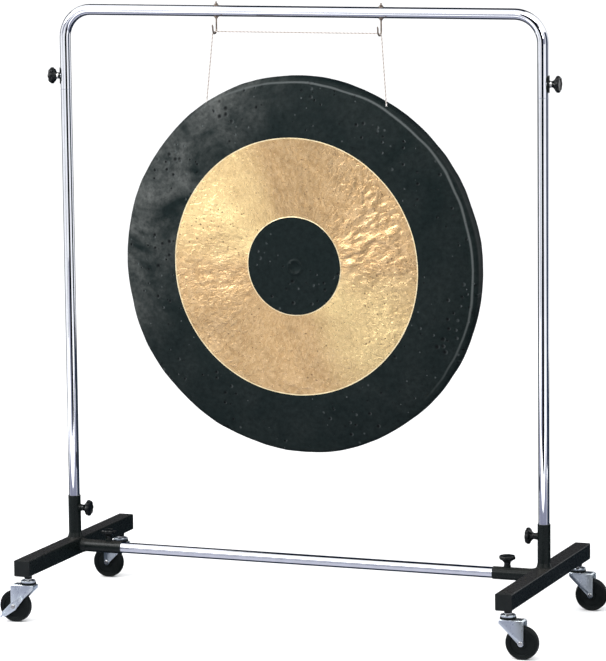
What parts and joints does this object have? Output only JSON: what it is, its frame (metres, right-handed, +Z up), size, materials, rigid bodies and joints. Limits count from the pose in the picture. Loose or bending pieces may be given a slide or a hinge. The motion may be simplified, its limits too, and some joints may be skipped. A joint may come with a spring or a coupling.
{
  "type": "tam tam gong on stand",
  "caption": "Hammered bronze tam tam gong hung by a cord from hooks on a chrome tube frame, with knob clamps, black feet and swivel casters.",
  "frame": {"origin": "on the floor, at the middle of the stand", "axes": "+Z up, X along the crossbar, gong face towards -Y"},
  "size_m": [1.3, 0.596, 1.4175],
  "materials": {
    "gong_bronze": "hammered bronze, blackened oxide border and centre, scraped ring",
    "chrome_tube": "bright chrome plate",
    "black_frame": "satin black powder coat",
    "black_cap": "moulded, fine grain",
    "white_cord": "twisted cord",
    "hook_steel": "plated wire",
    "inner_steel": "machined",
    "knob_plastic": "moulded, satin",
    "caster_chrome": "bright plated pressing",
    "wheel_rubber": "hard moulded, satin"
  },
  "bodies": {
    "base": {"left_foot_beam": "black_frame", "right_foot_beam": "black_frame", "foot_end_caps": "black_cap", "left_upright_socket": "black_frame", "right_upright_socket": "black_frame", "left_crossbar_socket": "black_frame", "right_crossbar_socket": "black_frame", "crossbar": "chrome_tube", "base_clamp_nuts": "black_frame", "caster_stem_sockets": "black_frame", "caster_stems": "inner_steel", "caster_top_races": "caster_chrome", "caster_bearing_balls": "inner_steel"},
    "lower_uprights": {"left_lower_upright": "chrome_tube", "right_lower_upright": "chrome_tube", "left_spigot": "inner_steel", "right_spigot": "inner_steel"},
    "upper_frame": {"upper_frame_tube": "chrome_tube", "upper_clamp_nuts": "chrome_tube", "left_gong_hook": "hook_steel", "right_gong_hook": "hook_steel", "hook_nuts": "hook_steel", "hook_washers": "hook_steel"},
    "cord": {"suspension_cord": "white_cord", "cord_knots": "white_cord"},
    "gong": {"gong": "gong_bronze"},
    "left_base_screw": {"left_base_screw": "inner_steel"},
    "left_base_knob": {"left_base_knob": "knob_plastic"},
    "right_base_screw": {"right_base_screw": "inner_steel"},
    "right_base_knob": {"right_base_knob": "knob_plastic"},
    "left_crossbar_screw": {"left_crossbar_screw": "inner_steel"},
    "left_crossbar_knob": {"left_crossbar_knob": "knob_plastic"},
    "right_crossbar_screw": {"right_crossbar_screw": "inner_steel"},
    "right_crossbar_knob": {"right_crossbar_knob": "knob_plastic"},
    "left_upper_screw": {"left_upper_screw": "inner_steel"},
    "left_upper_knob": {"left_upper_knob": "knob_plastic"},
    "right_upper_screw": {"right_upper_screw": "inner_steel"},
    "right_upper_knob": {"right_upper_knob": "knob_plastic"},
    "front_left_caster": {"front_left_fork": "caster_chrome", "front_left_axle": "caster_chrome", "front_left_axle_nut": "caster_chrome", "front_left_bush": "inner_steel"},
    "front_left_wheel": {"front_left_wheel": "wheel_rubber"},
    "back_left_caster": {"back_left_fork": "caster_chrome", "back_left_axle": "caster_chrome", "back_left_axle_nut": "caster_chrome", "back_left_bush": "inner_steel"},
    "back_left_wheel": {"back_left_wheel": "wheel_rubber"},
    "front_right_caster": {"front_right_fork": "caster_chrome", "front_right_axle": "caster_chrome", "front_right_axle_nut": "caster_chrome", "front_right_bush": "inner_steel"},
    "front_right_wheel": {"front_right_wheel": "wheel_rubber"},
    "back_right_caster": {"back_right_fork": "caster_chrome", "back_right_axle": "caster_chrome", "back_right_axle_nut": "caster_chrome", "back_right_bush": "inner_steel"},
    "back_right_wheel": {"back_right_wheel": "wheel_rubber"},
    "brake_lever": {"brake_lever": "caster_chrome"}
  },
  "joints": [
    {"name": "frame_height", "type": "slide", "parent": "base", "child": "lower_uprights", "axis": [0, 0, 1], "range_m": [0, 0.06]},
    {"name": "upper_frame_height", "type": "slide", "parent": "lower_uprights", "child": "upper_frame", "axis": [0, 0, 1], "range_m": [0, 0.06]},
    {"name": "cord_swing", "type": "hinge", "parent": "upper_frame", "child": "cord", "pos_m": [0, -0.011, 1.3515], "axis": [1, 0, 0], "range_deg": [-20, 20]},
    {"name": "gong_tilt", "type": "hinge", "parent": "cord", "child": "gong", "pos_m": [-0.0037, -0.011, 1.18712], "axis": [1, 0, 0], "range_deg": [-12, 12]},
    {"name": "left_base_screw_travel", "type": "slide", "parent": "base", "child": "left_base_screw", "axis": [1, 0, 0], "range_m": [0, 0.0025]},
    {"name": "left_base_knob_turn", "type": "hinge", "parent": "left_base_screw", "child": "left_base_knob", "pos_m": [-0.58, 0, 0.222], "axis": [1, 0, 0], "range_deg": [0, 720]},
    {"name": "right_base_screw_travel", "type": "slide", "parent": "base", "child": "right_base_screw", "axis": [-1, 0, 0], "range_m": [0, 0.0025]},
    {"name": "right_base_knob_turn", "type": "hinge", "parent": "right_base_screw", "child": "right_base_knob", "pos_m": [0.58, 0, 0.222], "axis": [-1, 0, 0], "range_deg": [0, 720]},
    {"name": "left_crossbar_screw_travel", "type": "slide", "parent": "base", "child": "left_crossbar_screw", "axis": [0, 0, 1], "range_m": [0, 0.0025]},
    {"name": "left_crossbar_knob_turn", "type": "hinge", "parent": "left_crossbar_screw", "child": "left_crossbar_knob", "pos_m": [-0.493, 0, 0.132], "axis": [0, 0, 1], "range_deg": [0, 720]},
    {"name": "right_crossbar_screw_travel", "type": "slide", "parent": "base", "child": "right_crossbar_screw", "axis": [0, 0, 1], "range_m": [0, 0.0025]},
    {"name": "right_crossbar_knob_turn", "type": "hinge", "parent": "right_crossbar_screw", "child": "right_crossbar_knob", "pos_m": [0.493, 0, 0.132], "axis": [0, 0, 1], "range_deg": [0, 720]},
    {"name": "left_upper_screw_travel", "type": "slide", "parent": "upper_frame", "child": "left_upper_screw", "axis": [-1, 0, 0], "range_m": [0, 0.0025]},
    {"name": "left_upper_knob_turn", "type": "hinge", "parent": "left_upper_screw", "child": "left_upper_knob", "pos_m": [-0.58, 0, 1.242], "axis": [-1, 0, 0], "range_deg": [0, 720]},
    {"name": "right_upper_screw_travel", "type": "slide", "parent": "upper_frame", "child": "right_upper_screw", "axis": [1, 0, 0], "range_m": [0, 0.0025]},
    {"name": "right_upper_knob_turn", "type": "hinge", "parent": "right_upper_screw", "child": "right_upper_knob", "pos_m": [0.58, 0, 1.242], "axis": [1, 0, 0], "range_deg": [0, 720]},
    {"name": "front_left_swivel", "type": "hinge", "parent": "base", "child": "front_left_caster", "pos_m": [-0.58, -0.263, 0.1], "axis": [0, 0, 1], "continuous": true},
    {"name": "front_left_wheel_spin", "type": "hinge", "parent": "front_left_caster", "child": "front_left_wheel", "pos_m": [-0.6125, -0.263, 0.0375], "axis": [0, 1, 0], "continuous": true},
    {"name": "back_left_swivel", "type": "hinge", "parent": "base", "child": "back_left_caster", "pos_m": [-0.58, 0.263, 0.1], "axis": [0, 0, 1], "continuous": true},
    {"name": "back_left_wheel_spin", "type": "hinge", "parent": "back_left_caster", "child": "back_left_wheel", "pos_m": [-0.6125, 0.263, 0.0375], "axis": [0, 1, 0], "continuous": true},
    {"name": "front_right_swivel", "type": "hinge", "parent": "base", "child": "front_right_caster", "pos_m": [0.58, -0.263, 0.1], "axis": [0, 0, 1], "continuous": true},
    {"name": "front_right_wheel_spin", "type": "hinge", "parent": "front_right_caster", "child": "front_right_wheel", "pos_m": [0.6125, -0.263, 0.0375], "axis": [0, 1, 0], "continuous": true},
    {"name": "back_right_swivel", "type": "hinge", "parent": "base", "child": "back_right_caster", "pos_m": [0.58, 0.263, 0.1], "axis": [0, 0, 1], "continuous": true},
    {"name": "back_right_wheel_spin", "type": "hinge", "parent": "back_right_caster", "child": "back_right_wheel", "pos_m": [0.6125, 0.263, 0.0375], "axis": [0, 1, 0], "continuous": true},
    {"name": "brake_lever_lift", "type": "hinge", "parent": "front_left_caster", "child": "brake_lever", "pos_m": [-0.6125, -0.263, 0.0375], "axis": [0, 1, 0], "range_deg": [0, 30]}
  ],
  "couplings": [
    {"joint": "left_base_knob_turn", "follows": "left_base_screw_travel", "rad_per_m": 5026.5},
    {"joint": "right_base_knob_turn", "follows": "right_base_screw_travel", "rad_per_m": 5026.5},
    {"joint": "left_crossbar_knob_turn", "follows": "left_crossbar_screw_travel", "rad_per_m": 5026.5},
    {"joint": "right_crossbar_knob_turn", "follows": "right_crossbar_screw_travel", "rad_per_m": 5026.5},
    {"joint": "left_upper_knob_turn", "follows": "left_upper_screw_travel", "rad_per_m": 5026.5},
    {"joint": "right_upper_knob_turn", "follows": "right_upper_screw_travel", "rad_per_m": 5026.5}
  ]
}
